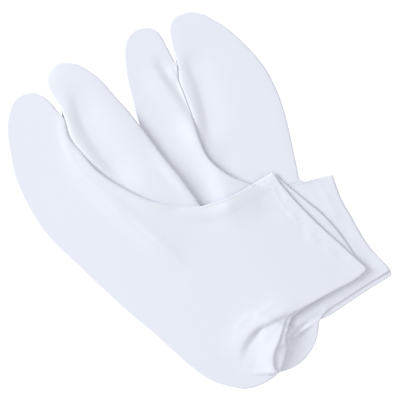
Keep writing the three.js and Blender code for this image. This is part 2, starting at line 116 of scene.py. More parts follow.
def curve(points, step=LINE_STEP):
    """A smooth line through the points, in even steps."""
    points = np.asarray(points, float)
    spans = len(points) - 1
    at = np.linspace(0, spans, spans * CUTS_BETWEEN_POINTS + 1)
    i = np.minimum(at.astype(int), spans - 1)
    u = (at - i)[:, None]
    before, here, after, beyond = (points[np.clip(i + k, 0, spans)] for k in (-1, 0, 1, 2))
    leave, arrive = (after - before) / 2, (beyond - here) / 2
    cubic = 2 * here - 2 * after + leave + arrive
    square = 3 * after - 3 * here - 2 * leave - arrive
    return evenly(((cubic * u + square) * u + leave) * u + here, step)


def near(line, points):
    """Distance to a line, the side (+1 on its left) and the share of its length at the nearest place."""
    tree = KDTree(len(line))
    for place, (x, y) in enumerate(line):
        tree.insert((x, y, 0), place)
    tree.balance()
    nearest = np.array([tree.find((x, y, 0))[1] for x, y in points])
    run = np.concatenate([[0], np.cumsum(np.hypot(*np.diff(line, axis=0).T))])
    best = None
    for step in (-1, 0):
        first = np.clip(nearest + step, 0, len(line) - 2)
        along = line[first + 1] - line[first]
        offset = points - line[first]
        on = np.clip((offset * along).sum(1) / (along ** 2).sum(1), 0, 1)
        offset = offset - on[:, None] * along
        distance = np.hypot(*offset.T)
        side = np.where(along[:, 0] * offset[:, 1] - along[:, 1] * offset[:, 0] < 0, -1, 1)
        share = mix(run[first], run[first + 1], on) / run[-1]
        found = np.array([distance, side, share])
        best = found if best is None else np.where(distance < best[0], found, best)
    return best


def inside(outline, points):
    found = np.zeros(len(points), bool)
    for (ax, ay), (bx, by) in zip(outline, np.roll(outline, -1, axis=0)):
        if ay == by:
            continue
        crosses = (ay > points[:, 1]) != (by > points[:, 1])
        found ^= crosses & (points[:, 0] < ax + (points[:, 1] - ay) / (by - ay) * (bx - ax))
    return found


def depth(outline, points):
    """Distance to a closed outline, over 0 inside it."""
    distance = near(np.vstack([outline, outline[:1]]), points)[0]
    return np.where(inside(outline, points), distance, -distance)


print("line step", LINE_STEP, "mm")

# %% [markdown]
# ## The pattern of the left cover
#
# The outlines are written as a pattern cutter would mark them: as named stretches, each with the few points
# that its curve needs. A sole shares most of its stretches with the uppers that are sewn to it. The toes
# point away (+Y) and the ankles lie to the right.

# %% Left cover, stretches in millimetres
LEFT_OUTER_BACK = [(105, -44.5), (98.5, -50), (85.5, -57), (67, -67), (56, -73.5)]
LEFT_OUTER_HEEL = [(53, -81), (50.5, -89), (47.5, -97), (47.5, -104), (49, -110)]
LEFT_OUTER_SIDE = [(39, -116.5), (27, -119), (8, -114), (-7.5, -103.5), (-27.5, -85.5), (-51, -65.5),
                   (-75, -43), (-96, -22.5), (-107.5, -5), (-115.5, 12), (-119.5, 28.5), (-121.5, 43.5)]
LEFT_SMALL_TOES = [(-120.5, 53), (-118, 61), (-113, 66), (-105, 68), (-97.5, 65), (-93, 61), (-88.5, 55.5)]
LEFT_INSTEP = [(-84.5, 50.5), (-81.5, 39.5), (-73.5, 29.5), (-62.5, 17.5), (-47, 7.5), (-29.5, -0.5),
               (-12, -4), (0.5, -4), (9.5, -1.5), (16, 0.5), (21.5, 3), (28, 6.5), (34.5, 10.5), (40.5, 14),
               (46.5, 17.5)]
LEFT_OUTER_OPENING = [(46.5, 17.5), (51, 10.7), (57.3, 3.2), (63.6, -3.8), (76.2, -16.4), (88.8, -27.7),
                      (98.3, -36.5), (103.3, -40.8), (105.2, -42.8), (105, -44.5)]

LEFT_INNER_BACK = [(105, -45), (96.5, -51.5), (84.5, -57.5), (72, -64.5), (60, -72.5)]
LEFT_INNER_HEEL = [(57.5, -76.5), (56, -81), (54.5, -87), (55, -94.5), (53, -102.5), (51.5, -106.5),
                   (50, -110)]
LEFT_HEEL_FRONT = [(46, -107.5), (43.5, -102), (42, -94.5), (43, -87), (43, -78)]
LEFT_HIDDEN_SEAM = [(36, -67.5), (26, -55), (16, -39), (5.5, -26), (-4, -17.5), (-16, -11.5), (-28.5, -6.5),
                    (-39.5, -1.5), (-51, 4.5), (-61.5, 10.5), (-72.5, 19.5), (-80.5, 28.5), (-85, 36),
                    (-86.5, 45), (-85.2, 51.5)]
LEFT_BIG_TOE = [(-87.7, 58.5), (-92, 65), (-95.8, 71), (-96, 77), (-94, 81.5), (-90.5, 85.5), (-84, 87),
                (-76, 85.5), (-70, 82), (-63.5, 77.5)]
LEFT_INNER_SIDE = [(-56.5, 70), (-50.5, 63), (-44.5, 56.5), (-39.5, 50), (-34.5, 43.5), (-28.5, 35.5),
                   (-21, 25.5), (-13, 16), (-7, 8), (-3, 2.5), (-0.5, -1.5), (1, -3.5)]
LEFT_INNER_FRONT = [(4, -4), (8.5, -3), (15, -0.5), (23, 3), (30.5, 7), (35.5, 10), (39.5, 12), (43, 13.5),
                    (45.5, 15), (48, 15), (50.5, 13.5)]
LEFT_INNER_OPENING = [(50.5, 13.5), (54.8, 10.1), (66.8, 0), (76.2, -7.6), (85.7, -17.6), (92, -25.8),
                      (98, -34.7), (104.3, -42.5), (105, -45)]
LEFT_SOLE_FRONT = [(9.5, -14), (21, -27), (32, -43), (42, -60), (51, -74.5), (55.5, -85), (55, -94.5),
                   (53, -102.5), (49, -110)]
LEFT_CLEFT = [(-106, 90), (-98, 71), (-95, 65), (-91, 60), (-86.2, 52.3)]
LEFT_SEAM = LEFT_CLEFT + [(-85, 51), (-80, 37), (-68.5, 23), (-50, 9.5), (-31, 0), (-12, -4), (4, -3),
                          (26, 5), (46.5, 17.5)]
LEFT_HEEL_FOLD = [(27.5, -99.5), (30, -94), (32, -89), (36.5, -82.5), (43, -79), (49, -76), (57.5, -72.5)]

# %% [markdown]
# ## The pattern of the right cover
#
# The right cover lies beneath, with its inner upper on top.

# %% Right cover, stretches in millimetres
RIGHT_INNER_BACK = [(119.5, -45), (114, -48.5), (105, -54), (92, -62.5), (80.5, -70)]
RIGHT_INNER_HEEL = [(76, -77), (75, -85.5), (71, -95), (63.5, -103.5), (52.5, -108.5), (42, -110)]
RIGHT_INNER_SIDE = [(28.5, -109), (16, -99), (4.5, -82), (-5.5, -60), (-14, -39.5), (-21, -20), (-26.5, 1.5),
                    (-32, 28.5), (-38, 48.5), (-41.5, 60), (-44, 68.5), (-46, 77.5), (-47, 85.5)]
RIGHT_BIG_TOE = [(-47.5, 93), (-46.5, 100), (-43.5, 105), (-39, 108), (-33, 109), (-27, 107), (-23.5, 103),
                 (-20, 96.5), (-16.5, 89.5)]
RIGHT_INSTEP = [(-13.5, 83), (-13, 76), (-10, 68), (-6.5, 59), (-3, 49), (0.5, 38.5), (5.5, 27.5), (13, 20),
                (21.5, 14.5), (29.5, 11.5), (36.5, 9), (44.5, 8.5), (52.5, 9), (59, 10), (65.5, 11.5),
                (73, 13.5), (80.5, 15.5), (84, 16)]
RIGHT_INNER_OPENING = [(84, 16), (86.3, 8.2), (89.5, 0), (95.1, -9.5), (101.4, -20.8), (107.7, -30.2),
                       (114, -36.8), (119.2, -42.8), (119.5, -45)]

RIGHT_OUTER_BACK = [(121.5, -48), (106, -57.5), (92.5, -66.5), (81.5, -73.5), (73.5, -75)]
RIGHT_HIDDEN_SEAM = [(68.5, -64.5), (65, -48.5), (61, -31.5), (58.5, -16), (56, -2), (47, 4), (37, 5),
                     (27, 7), (17, 12), (8, 18.5), (0.5, 26.5), (-4.5, 36), (-7.5, 47), (-10.5, 57.5),
                     (-14, 67), (-16, 75.5), (-13.5, 83)]
RIGHT_SMALL_TOES = [(-15, 89.5), (-17.5, 97), (-19, 104.5), (-19, 110), (-16.5, 115), (-12, 117.5),
                    (-5.5, 119), (2.5, 117.5), (10, 113.5), (18.5, 108)]
RIGHT_OUTER_SIDE = [(26.8, 100.8), (34.2, 93.2), (40, 86.2), (44.6, 79), (48.2, 71.8), (51.3, 64.5),
                    (54.2, 55.5), (56.6, 46), (58.9, 35.5), (61, 25.5), (62.4, 19), (63.3, 13.8)]
RIGHT_OUTER_FRONT = [(67, 12), (71, 13), (75.5, 14), (80.5, 15), (84.5, 16)]
RIGHT_OUTER_OPENING = [(84.5, 16), (87.2, 8.2), (90.4, 0), (96, -9.5), (102.4, -21), (108.8, -30.5),
                       (115, -37.3), (120.7, -43.6), (121.5, -48)]
RIGHT_SOLE_FRONT = [(63.5, 11.5), (64.5, -3), (66, -22), (69.5, -39), (73, -56.5), (76, -77)]
RIGHT_CLEFT = [(-28, 128), (-22, 113), (-20, 104), (-17.5, 95.5), (-15, 88.5)]
RIGHT_SEAM = RIGHT_CLEFT + [(-13.5, 83), (-11, 70.5), (-5.5, 57), (0, 38.5), (9, 24), (26, 12.5), (43.5, 9),
                            (63.5, 11), (84, 16)]
RIGHT_HEEL_FOLD = [(36, -106), (40, -101.5), (45, -97), (50, -93.5), (55.4, -90.1), (63.6, -84.7),
                   (76.2, -76.5), (82.5, -71.5)]

# %% [markdown]
# ## Sewn edges and openings
#
# An upper has one long sewn edge, from the back of its opening round the toes to the opening's front, and
# the opening itself. A sole's edge is sewn all round, though the stretch beneath the ankle never shows.

# %% Edges of the six pieces of cloth
sewn = {
    "left_outer": curve(LEFT_OUTER_BACK + LEFT_OUTER_HEEL + LEFT_OUTER_SIDE + LEFT_SMALL_TOES + LEFT_INSTEP),
    "left_inner": curve(LEFT_INNER_BACK + LEFT_INNER_HEEL + LEFT_HEEL_FRONT + LEFT_HIDDEN_SEAM
                        + LEFT_BIG_TOE + LEFT_INNER_SIDE + LEFT_INNER_FRONT),
    "right_inner": curve(RIGHT_INNER_BACK + RIGHT_INNER_HEEL + RIGHT_INNER_SIDE + RIGHT_BIG_TOE
                         + RIGHT_INSTEP),
    "right_outer": curve(RIGHT_OUTER_BACK + RIGHT_HIDDEN_SEAM + RIGHT_SMALL_TOES + RIGHT_OUTER_SIDE
                         + RIGHT_OUTER_FRONT),
}
opening = {
    "left_outer": curve(LEFT_OUTER_OPENING),
    "left_inner": curve(LEFT_INNER_OPENING),
    "right_inner": curve(RIGHT_INNER_OPENING),
    "right_outer": curve(RIGHT_OUTER_OPENING),
}
outline = {name: np.vstack([sewn[name][:-1], opening[name][:-1]]) for name in sewn}
outline["left_sole"] = curve(LEFT_OUTER_SIDE + LEFT_SMALL_TOES + LEFT_CLEFT[-1:] + LEFT_BIG_TOE
                             + LEFT_INNER_SIDE + LEFT_SOLE_FRONT)[:-1]
outline["right_sole"] = curve(RIGHT_INNER_HEEL + RIGHT_INNER_SIDE + RIGHT_BIG_TOE + RIGHT_INSTEP[:1]
                              + RIGHT_SMALL_TOES + RIGHT_OUTER_SIDE + RIGHT_SOLE_FRONT)[:-1]
for name, line in outline.items():
    length = np.hypot(*(line - np.roll(line, 1, axis=0)).T).sum()
    print(f"{name}: {length:.0f} mm round")

# %% [markdown]
# ## Creases
#
# A crease is a soft ridge or trough along a line. It has its own height, it may be steeper on one side, and
# it fades out at its ends. All of them are placed one by one, because in real cloth no two are alike.

# %% Soft ridges and troughs: height, width left and right of the line, faded share at each end, points
CREASE_STEP = 2.5
LEFT_OUTER_CREASES = [
    # the panel rises towards the instep seam
    (0.6, 2.2, 3.4, 0.15, [(-90, 56), (-86.3, 50), (-83.1, 38.6), (-74.9, 28.2), (-63.7, 16), (-47.9, 5.8),
                           (-30.1, -2.3), (-12.2, -5.9)]),
    # a faint ridge down the middle of the foot, with two strands on it
    (0.75, 22, 6, 0.25, [(-86, 40), (-78, 22), (-66, 7), (-52, -6), (-38, -18), (-22, -32), (-8, -44)]),
    (0.34, 3.8, 1.9, 0.2, [(-86.5, 46), (-82, 30), (-74, 18.5), (-61.5, 6), (-52, -5), (-42, -15)]),
    (0.34, 3.8, 1.9, 0.25, [(-62, 9.5), (-50, -2.5), (-37.5, -14), (-27, -24), (-17, -33.5), (-7, -44)]),
    # a rolled front edge with a faint dip behind it
    (-0.5, 2.6, 2.6, 0.1, [(-20, -3.2), (-12, -4), (0.5, -4), (9.5, -1.5), (21.5, 3), (34.5, 10.5),
                           (46, 17.2)]),
    (0.18, 3.5, 3, 0.25, [(-26, -7), (-14, -9), (-2, -9.5), (10, -8), (22, -3), (32, 3)]),
    (-0.2, 2.5, 5, 0.2, [(-30.9, -9.6), (-18.3, -13.3), (-5.7, -15.2), (6.9, -14.6), (19.5, -10.8),
                         (30, -5)]),
    # the back of the folded ankle, and the stretched cloth that runs down to it
    (0.15, 10, 9, 0.12, [(50, -77), (58, -72), (67, -66.5), (85.5, -56.5), (98.5, -49.5), (107, -43)]),
    (0.85, 9, 2.4, 0.25, [(24, -104), (25, -97.5), (27, -91), (30.5, -85), (36.5, -79), (45, -74.5),
                          (54, -70.5), (64, -66)]),
    (0.2, 1.8, 1.6, 0.3, [(33, -76), (41, -69), (50, -64)]),
    (0.16, 1.8, 1.6, 0.3, [(22, -84), (27, -76.5), (35, -70)]),
    # puckers inside the hem, near the front of the opening
    (-0.5, 5.5, 5, 0.3, [(41, 6), (43.5, -2), (46, -11)]),
    (0.25, 2.5, 2, 0.3, [(37, 11), (42, 10), (47, 11)]),
    (0.2, 1.3, 1.5, 0.3, [(45.4, 10), (48.5, 4.5), (50.4, -1)]),
    (-0.2, 1.2, 1.2, 0.3, [(48.5, 9), (51.2, 4), (54.2, -1.5)]),
    (0.16, 1.2, 1.2, 0.3, [(49, 0.5), (52.5, -2.5), (55, -6)]),
    (0.2, 1.3, 1.3, 0.3, [(51, 4.5), (54, 1), (56.7, -2)]),
    (-0.22, 1.4, 1.6, 0.3, [(47.9, -4), (52.9, -7), (57.3, -9.5)]),
    (0.14, 1.2, 1.4, 0.3, [(50, -10), (54, -12), (58.5, -15.5)]),
    (0.2, 1.5, 1.3, 0.3, [(55.5, -7.6), (59, -10), (63.4, -13)]),
    (-0.16, 1.4, 1.3, 0.3, [(60, -7), (63, -9), (66.5, -12.5)]),
    (-0.26, 2, 1.8, 0.3, [(62.1, -15.5), (65, -18.5), (67, -22.5)]),
    (0.16, 1.6, 1.5, 0.3, [(66, -15), (70, -18.5), (74, -21)]),
    (0.18, 1.7, 1.9, 0.3, [(67.4, -22), (72, -25), (76, -27)]),
    (-0.14, 1.8, 1.6, 0.3, [(72, -20), (76.5, -23.5), (80, -27)]),
    (0.16, 2.2, 2, 0.3, [(78, -29), (83, -32.5), (89, -35)]),
    (-0.14, 2.4, 2, 0.3, [(84, -30), (89, -34), (95, -38)]),
    # the heel below the fold: two soft ridges down the pouch, and a dip and a wrinkle at its corner
    (0.15, 5, 4.5, 0.3, [(36, -86), (38.5, -91), (41, -98), (44, -104)]),
    (0.7, 2.5, 6, 0.15, [(53, -78), (50.2, -88), (47.2, -97), (46.8, -104), (48, -111)]),
    (-0.3, 3.5, 4, 0.3, [(30, -103), (38, -105.5), (46, -110)]),
    (0.12, 2.6, 2.6, 0.3, [(33, -108.5), (40, -110.5), (46, -112)]),
]
LEFT_INNER_CREASES = [
    # the hollow of the big toe's pocket, steep towards the seam
    (-1.75, 12, 4.8, 0.32, [(-78.5, 77), (-77.5, 67), (-75.8, 58), (-72.8, 49), (-68.5, 40.5), (-63, 32),
                            (-56.5, 24), (-49.5, 16.5), (-42, 10.5), (-34, 6)]),
    # below it the panel runs down to the seam
    (-1.6, 6.5, 3, 0.3, [(-72, 27), (-62.5, 17.5), (-55, 12.5), (-47, 7.5), (-38, 3), (-29.5, -0.5),
                         (-20.5, -2.8), (-12, -4), (-1, -4), (9.5, -1.5)]),
]
RIGHT_INNER_CREASES = [
    # a trough from the big toe to the instep seam, and the small roll between it and the cleft
    (-0.65, 3.3, 3, 0.25, [(-28, 91), (-25.8, 87.6), (-19.5, 78.8), (-13.2, 71.8), (-8.2, 66.8), (-5, 61.1)]),
    (0.5, 2.2, 2.4, 0.3, [(-20, 84), (-14.5, 77), (-9, 70.5)]),
    # the broad ridge beside the seam, which runs on under the left cover where the seam turns away
    (1.15, 3.8, 9, 0.35, [(-34, 93), (-29.6, 84.2), (-21.9, 71.6), (-14.2, 61.1), (-8.1, 50.7), (-3.8, 41),
                          (1.1, 30.2), (6.2, 20.2)]),
    (2.5, 20, 9, 0.3, [(-9, 58), (-3, 47), (4, 35), (10, 24), (15.5, 12), (19, 1), (23, -9), (26, -20)]),
    (0.2, 3, 6, 0.25, [(-9, 62), (-4, 47), (-1, 37), (4, 27.5), (11, 20), (20, 14), (30, 10.5), (42, 8)]),
    # the cloth slopes down from the left cover's edge
    (1.3, 7.5, 4, 0.45, [(-32, 38), (-28.5, 32.5), (-21.5, 23), (-13.5, 13.5), (-7, 5.5), (-2, -1), (3, -8)]),
    # the crease that carries the back edge of the ankle on over the heel
    (-1.5, 1.3, 1.3, 0.12, [(55, -88), (61, -83.5), (66.8, -78.8), (79.4, -70.6)]),
    # the heel slopes down from the left cover's edge
    (1.9, 13, 15, 0.1, [(57, -78), (52, -88), (49, -98), (48, -112)]),
    # the back edge turns down
    (-0.45, 3, 3, 0.1, [(119.5, -45), (114, -48.5), (105, -54), (92, -62.5), (80.5, -70)]),
    # slight waves behind the hem
    (0.3, 2.5, 3.2, 0.3, [(77, 9), (84, -4), (90, -13)]),
    (-0.3, 2.5, 2.5, 0.3, [(66, 5), (72, -4), (80, -12)]),
    (0.3, 3, 2.5, 0.3, [(92, -22), (99, -32), (108, -40)]),
]
RIGHT_OUTER_CREASES = [
    # the hollow of the small toes' pocket, and the softer one that follows the instep
    (-1.1, 10, 3.8, 0.25, [(-9, 97), (-6.9, 90.1), (-3.2, 80), (0.6, 70.6), (3.2, 61.1), (5, 51.7),
                           (6.9, 42.2), (10.1, 33.4)]),
    (-1.2, 10, 4, 0.35, [(3, 34), (7.5, 25.5), (13.5, 20), (21.5, 14.5), (30, 11.5), (40, 9), (50, 9),
                         (60, 10.5)]),
    # it is rolled up along the seam
    (0.5, 6, 3, 0.3, [(-15, 86), (-13, 77), (-10, 68), (-6.5, 59), (-3, 49), (0.5, 38.5), (5.5, 27.5),
                      (13, 20)]),
]


def crease_height(creases, points):
    total = np.zeros(len(points))
    for height, left, right, fade, line in creases:
        distance, side, share = near(curve(line, CREASE_STEP), points)
        width = np.where(side > 0, left, right)
        ends = ease(0, fade, share) * (1 - ease(1 - fade, 1, share))
        total += height * np.exp(-(distance / width) ** 2) * ends
    return total


print(len(LEFT_OUTER_CREASES) + len(LEFT_INNER_CREASES), "creases on the left cover")

# %% [markdown]
# ## One cover as heights
#
# A cover has a floor that it lies on and a sole. Its lower panel lies on the sole, raised like a pocket at
# the toes and rolled softly beside the instep seam. Its upper panel lies on that, and its sewn edge is
# turned down onto the cloth beneath. The heel's fold is a step: the ankle's side is raised and the heel's
# side is pulled down.

# %% Heights of a cover's layers
GROOVE_WIDTH = 1.3
RIM_CLEARANCE = 0.12
RIM_LEAD = (-3.5, -0.5)      # an upper panel's rim climbs onto the lower panel over this stretch
HIDDEN_LEAD = (-11.0, -1.0)  # and its crown over this one
SEAM_SHOWS = (-2.5, 1.2)     # a lower panel takes its shaped height over this stretch beside the seam
DEEPEST_DENT = -0.2
DENT_SOFTNESS = 0.2
EDGE_TAPER = (0, 0.6)        # the heel fold's edge sharpens over this share of the fold
CROWN_SOFTNESS = 0.1
FLOOR_SOFTNESS = 0.15


def over_sole(sole, points):
    """1 over the sole, 0 far beside it."""
    return 1 - ease(SOLE_MARGIN, SOLE_MARGIN + SOLE_FALL, -depth(sole, points))


class Cover:
    def __init__(self, floor, sole, lower_outline, lower_side, pocket, seam, groove, loft_end, creases, fold,
                 step):
        self.floor, self.sole, self.lower_outline = floor, sole, lower_outline
        self.lower_side, self.pocket = curve(lower_side), pocket
        self.seam, self.groove, self.loft_end = curve(seam), groove, loft_end
        self.lower_creases, self.upper_creases = creases
        self.fold, self.step = curve(fold), step

    def base(self, panel, points):
        return self.floor(points) + mix(*panel, over_sole(self.sole, points))

    def lower_rim(self, points):
        return self.base(SOLE_SEAM_RIM, points)

    def lower_crown(self, points):
        distance, side, share = near(self.seam, points)
        beside = distance * side
        shows = ease(*SEAM_SHOWS, beside) * (1 - ease(*self.loft_end, share))
        groove = self.pocket["groove"] * np.exp(-(beside / GROOVE_WIDTH) ** 2)
        groove = groove * ease(*self.groove[:2], share) * (1 - ease(*self.groove[2:], share))
        to_side = np.clip(1 - near(self.lower_side, points)[0] / SIDE_DROP, 0, 1) ** 2
        loft = mix(HIDDEN_SLACK, self.pocket["loft"] - self.pocket["side_drop"] * to_side, shows)
        loft = loft * over_sole(self.sole, points)
        shaped = loft - (groove - crease_height(self.lower_creases, points)) * shows
        return self.base(LOWER_BASE, points) + CREST + smooth_max(shaped, DEEPEST_DENT, DENT_SOFTNESS)

    def upper_rim(self, points):
        on_lower = ease(*RIM_LEAD, depth(self.lower_outline, points))
        return mix(self.lower_rim(points), self.lower_crown(points) + RIM_CLEARANCE, on_lower)

    def heel_step(self, points):
        """The ankle's side of the fold is raised and the heel's side is pulled down."""
        distance, side, share = near(self.fold, points)
        beside = distance * side
        step = self.step
        strength = ease(*step["start"], share)
        edge = mix(*step["edge"], ease(*EDGE_TAPER, share))
        low = step["drop"] * np.exp(-(np.minimum(beside, 0) / step["drop_width"]) ** 2)
        high = step["lift"] * np.exp(-(beside / step["lift_width"]) ** 2)
        ankle = mix(-step["drop"], high, round_rise(beside / edge))
        return strength * np.where(beside < 0, -low, ankle)

    def upper_crown(self, points):
        crown = (self.base(UPPER_BASE, points) + CREST + crease_height(self.upper_creases, points)
                 + self.heel_step(points))
        on_sole = self.floor(points) + SOLE_CLOTH * over_sole(self.sole, points)
        on_lower = ease(*HIDDEN_LEAD, depth(self.lower_outline, points))
        beneath = mix(on_sole, self.lower_crown(points), on_lower)
        return smooth_max(crown, beneath + CLOTH + LAYER_GAP, CROWN_SOFTNESS)


def left_floor(points):
    """The right cover's top, with a long climb onto it."""
    right_pieces = ("right_inner", "right_outer", "right_sole")
    under = np.max([depth(outline[name], points) for name in right_pieces], axis=0)
    on_sole = np.where(under > 0, over_sole(outline["right_sole"], points), 1)
    floor = (mix(*UPPER_BASE, on_sole) + CREST + COVER_GAP) * ease(-CLIMB, -CLIMB_TOP, under)
    for name, layer in (("right_inner", "upper"), ("right_outer", "lower")):
        beneath = depth(outline[name], points) > 0
        top = np.zeros(len(points))
        if beneath.any():
            top[beneath] = upper_heights(name, right_cover, layer, points[beneath]) + LAYER_GAP
        floor = np.where(beneath, smooth_max(floor, top, FLOOR_SOFTNESS), floor)
    return floor


right_cover = Cover(
    floor=lambda points: np.zeros(len(points)),
    sole=outline["right_sole"],
    lower_outline=outline["right_outer"],
    lower_side=RIGHT_SMALL_TOES + RIGHT_OUTER_SIDE,
    pocket={"loft": 1.6, "side_drop": 0.2, "groove": 0.3},
    seam=RIGHT_SEAM,
    groove=(0.16, 0.27, 0.36, 0.5),
    loft_end=(0.89, 1),
    creases=(RIGHT_OUTER_CREASES, RIGHT_INNER_CREASES),
    fold=RIGHT_HEEL_FOLD,
    step={"drop": 2.6, "lift": 0.1, "drop_width": 18, "lift_width": 10, "edge": (2.0, 1.4),
          "start": (0.25, 0.6)},
)
left_cover = Cover(
    floor=lambda points: left_floor(points) + CLIMB_SLACK,
    sole=outline["left_sole"],
    lower_outline=outline["left_inner"],
    lower_side=LEFT_BIG_TOE + LEFT_INNER_SIDE,
    pocket={"loft": 1.95, "side_drop": 0.6, "groove": 1.0},
    seam=LEFT_SEAM,
    groove=(0.12, 0.23, 0.74, 0.86),
    loft_end=(0.76, 0.92),
    creases=(LEFT_INNER_CREASES, LEFT_OUTER_CREASES),
    fold=LEFT_HEEL_FOLD,
    step={"drop": 1.2, "lift": 0.5, "drop_width": 13, "lift_width": 10, "edge": (7.0, 1.8),
          "start": (0, 0.5)},
)
print("two covers, with", len(LEFT_OUTER_CREASES) + len(RIGHT_INNER_CREASES), "creases on their upper panels")

# %% [markdown]
# ## From a height to a mesh
#
# A grid of squares would leave jagged edges on these curved pieces. Instead the outline is followed
# exactly, a few rings run just inside it, where the cloth turns down to its seam, and an even field of
# points fills the rest. A Delaunay triangulation joins them. The height function then lifts every point.

# %% Points and triangles of a flat piece
RINGS = (0.15, 0.45, 0.9, 1.5, 2.3, 3.3)
RING_KEPT = 0.93     # a ring's point stays if it is this share of the ring's distance from the outline
EDGE_STEP = 0.8
FIELD_STEP = 1.15
ROW_SHARE = 0.866    # rows of equal triangles are this share of their side apart
FIELD_MARGIN = 0.6   # the field starts this share of its step inside the last ring
INSIDE_ONLY = 1      # the triangulation keeps only what is inside the outline
SAME_POINT = 1e-5


def inset(line, distance):
    """A closed line moved inwards, without the points that come too near another stretch of it."""
    ahead = np.roll(line, -1, axis=0) - np.roll(line, 1, axis=0)
    normal = np.column_stack([-ahead[:, 1], ahead[:, 0]]) / np.hypot(*ahead.T)[:, None]
    moved = line + normal * distance
    return moved[depth(line, moved) > RING_KEPT * distance]


def flat_piece(line, field_step=FIELD_STEP):
    """Points and triangles inside a closed line."""
    closed = np.vstack([line, line[:1]])
    area = 0.5 * (closed[:-1, 0] * closed[1:, 1] - closed[1:, 0] * closed[:-1, 1]).sum()
    border = evenly(closed if area > 0 else closed[::-1], EDGE_STEP)[:-1]
    rings = [inset(border, distance) for distance in RINGS]
    low, high = border.min(0), border.max(0)
    rows = np.arange(low[1], high[1], field_step * ROW_SHARE)
    across = np.arange(low[0], high[0], field_step)
    field = np.array([(x + field_step / 2 * (row % 2), y) for row, y in enumerate(rows) for x in across])
    field = field[depth(border, field) > RINGS[-1] + FIELD_MARGIN * field_step]
    every = np.vstack([border, *rings, field])
    edge_loop = [list(range(len(border)))]
    points, _, faces, *_ = delaunay_2d_cdt(every.tolist(), [], edge_loop, INSIDE_ONLY, SAME_POINT)
    return np.array([tuple(point) for point in points]), faces


def cloth_object(name, points, heights, faces):
    mesh = bpy.data.meshes.new(name)
    mesh.from_pydata((np.column_stack([points, heights]) * MM).tolist(), [], faces)
    mesh.shade_smooth()
    piece = bpy.data.objects.new(name, mesh)
    bpy.context.scene.collection.objects.link(piece)
    return piece


def give_wall(piece, thickness):
    """Thickens the sheet downwards. What would sink into the table is pressed flat on it."""
    wall = piece.modifiers.new("cloth wall", "SOLIDIFY")
    wall.thickness = thickness * MM
    wall.offset = -1
    shown = piece.evaluated_get(bpy.context.evaluated_depsgraph_get())
    thick = bpy.data.meshes.new_from_object(shown)
    piece.modifiers.clear()
    piece.data = thick
    for vertex in thick.vertices:
        vertex.co.z = max(vertex.co.z, 0)


# %% [markdown]
# ## The uppers
#
# An upper rises from its seam in a quarter round and runs out flat to the opening, where the hem's edge is
# a small round roll. The modifier Solidify gives the sheet its wall, so that every piece is a thin closed
# shell.

# %% Building the four uppers
HEM = {"band": 7.0, "flare": 0.45, "flare_width": 13.0, "roll": 0.9, "turn": 0.5, "stitch_dip": 0.04,
       "stitch_width": 0.7}
ROLL_RADIUS = (0.7, 0.95)
ROLL_SHARE = 0.9  # of the rise, between those two radii


def upper_heights(name, cover, layer, points):
    rim = getattr(cover, layer + "_rim")(points)
    crown = getattr(cover, layer + "_crown")(points)
    rise = crown - rim
    radius = np.clip(ROLL_SHARE * rise, *ROLL_RADIUS)
    height = rim + rise * round_rise(near(sewn[name], points)[0] / radius)
    from_hem = near(opening[name], points)[0]
    height -= HEM["turn"] * (1 - round_rise(from_hem / HEM["roll"]))
    if layer == "upper":
        height += HEM["flare"] * np.clip(1 - from_hem / HEM["flare_width"], 0, 1) ** 2
    height -= HEM["stitch_dip"] * np.exp(-((from_hem - HEM["band"]) / HEM["stitch_width"]) ** 2)
    return height


def make_upper(name, cover, layer):
    points, faces = flat_piece(outline[name])
    piece = cloth_object(name + "_cloth", points, upper_heights(name, cover, layer, points), faces)
    give_wall(piece, CLOTH)
    print(f"{name}: {len(points)} points, {len(faces)} triangles")
    return piece


right_outer_cloth = make_upper("right_outer", right_cover, "lower")
right_inner_cloth = make_upper("right_inner", right_cover, "upper")
left_inner_cloth = make_upper("left_inner", left_cover, "lower")
left_outer_cloth = make_upper("left_outer", left_cover, "upper")

# %% [markdown]
# ## Hem stitches
#
# Each opening has a narrow hem, held by a row of small stretch stitches, too fine to see from a step away.
# A stitch is a short bent tube whose two ends dip into the cloth, and one hem's stitches are one mesh.

# %% Stitching the four hems
STITCH = {"every": 2.4, "length": 1.7, "radius": 0.1, "rise": 0.05, "skew": 0.35}
TUBE_SIDES = 6
TUBE_STEPS = 4


def stitch_line(name):
    """Middles and directions of the stitches, a hem's width inside the opening."""
    line = evenly(opening[name], STITCH["every"])
    along = np.gradient(line, axis=0)
    along /= np.hypot(*along.T)[:, None]
    inward = np.column_stack([along[:, 1], -along[:, 0]])
    middle = slice(len(line) // 2, len(line) // 2 + 1)
    if depth(outline[name], line[middle] + inward[middle])[0] < 0:
        inward = -inward
    middles = line + inward * HEM["band"]
    kept = depth(outline[name], middles) > STITCH["length"]
    lean = np.where(np.arange(len(line)) % 2, STITCH["skew"], -STITCH["skew"])[:, None]
    return middles[kept], (along + inward * lean)[kept]


